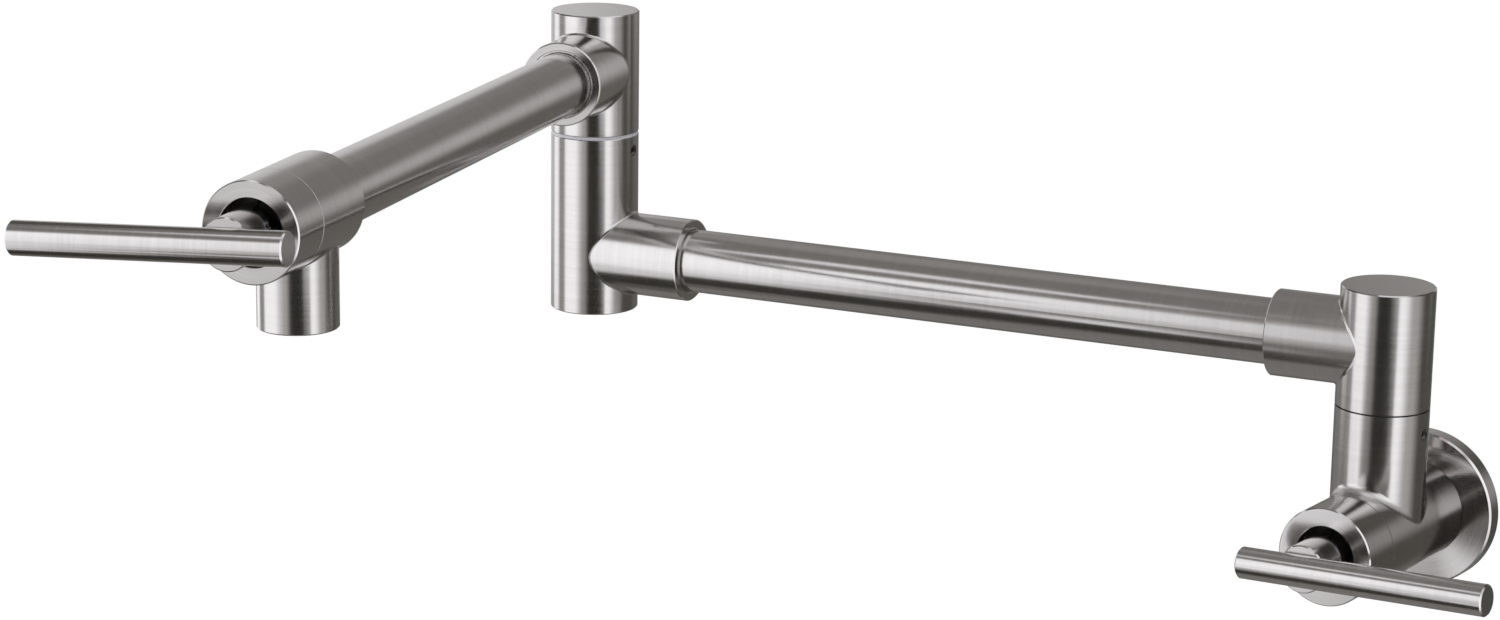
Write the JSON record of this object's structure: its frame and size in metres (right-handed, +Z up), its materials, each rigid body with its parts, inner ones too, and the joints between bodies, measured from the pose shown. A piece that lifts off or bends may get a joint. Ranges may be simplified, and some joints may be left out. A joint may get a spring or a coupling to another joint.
{
  "type": "wall mounted pot filler",
  "caption": "Wall mounted pot filler with folding tube arms on upright swivels, cross-bar quarter-turn valves at the wall and at the spout, and a round wall flange.",
  "frame": {"origin": "centre of the inlet's mouth, on the plane of the wall", "axes": "+Y into the wall along the inlet, +Z up, +X to the right seen from the room; the arms stand as pictured"},
  "size_m": [0.3791, 0.4106, 0.1812],
  "materials": {
    "brushed_nickel": "brushed nickel, satin",
    "brass": "turned, bare",
    "black_rubber": "moulded, matt",
    "white_ceramic": "lapped ceramic",
    "clear_nylon": "translucent nylon",
    "plain_steel": "plain stainless",
    "grey_plastic": "moulded"
  },
  "bodies": {
    "wall_mount": {"wall_bracket": "plain_steel", "inlet_adapter": "brass", "inlet_orings": "black_rubber", "wall_flange": "brushed_nickel", "flange_oring": "black_rubber", "adapter_lock_screw": "plain_steel", "wall_valve_body": "brushed_nickel", "wall_valve_cap": "brushed_nickel", "wall_cartridge_housing": "brass", "wall_cartridge_nut": "brass", "wall_cartridge_seal": "black_rubber", "wall_fixed_disc": "white_ceramic", "wall_swivel_washer": "clear_nylon", "wall_swivel_grubs": "plain_steel"},
    "wall_handle": {"wall_moving_disc": "white_ceramic", "wall_spindle": "brass", "wall_spindle_oring": "black_rubber", "wall_handle_hub": "brushed_nickel", "wall_handle_bar": "brushed_nickel", "wall_bar_screw": "plain_steel", "wall_hub_grub": "plain_steel"},
    "inner_arm": {"wall_swivel_spigot": "brass", "wall_swivel_orings": "black_rubber", "inner_arm_head": "brushed_nickel", "inner_arm_socket": "brushed_nickel", "inner_arm_tube": "brushed_nickel", "elbow_socket": "brushed_nickel", "elbow_sleeve": "brushed_nickel", "elbow_swivel_washer": "clear_nylon", "elbow_swivel_grubs": "plain_steel"},
    "outer_arm": {"elbow_swivel_spigot": "brass", "elbow_swivel_orings": "black_rubber", "outer_arm_head": "brushed_nickel", "outer_arm_socket": "brushed_nickel", "outer_arm_tube": "brushed_nickel", "spout_valve_body": "brushed_nickel", "spout_valve_cap": "brushed_nickel", "spout_cartridge_housing": "brass", "spout_cartridge_nut": "brass", "spout_cartridge_seal": "black_rubber", "spout_fixed_disc": "white_ceramic", "spout_tube": "brushed_nickel", "aerator_housing": "brass", "aerator_screen": "grey_plastic", "aerator_washer": "black_rubber"},
    "spout_handle": {"spout_moving_disc": "white_ceramic", "spout_spindle": "brass", "spout_spindle_oring": "black_rubber", "spout_handle_hub": "brushed_nickel", "spout_handle_bar": "brushed_nickel", "spout_bar_screw": "plain_steel", "spout_hub_grub": "plain_steel"}
  },
  "joints": [
    {"name": "wall_swivel", "type": "hinge", "parent": "wall_mount", "child": "inner_arm", "pos_m": [0, -0.0395, 0.04437], "axis": [0, 0, 1], "range_deg": [-9.4, 170.6]},
    {"name": "elbow_swivel", "type": "hinge", "parent": "inner_arm", "child": "outer_arm", "pos_m": [-0.29597, -0.0885, 0.10977], "axis": [0, 0, 1], "continuous": true},
    {"name": "wall_handle_turn", "type": "hinge", "parent": "wall_mount", "child": "wall_handle", "pos_m": [0, -0.0783, 0], "axis": [0, 1, 0], "range_deg": [0, 90]},
    {"name": "spout_handle_turn", "type": "hinge", "parent": "outer_arm", "child": "spout_handle", "pos_m": [-0.21261, -0.36814, 0.13237], "axis": [-0.2857, 0.9583, 0], "range_deg": [0, 90]}
  ]
}
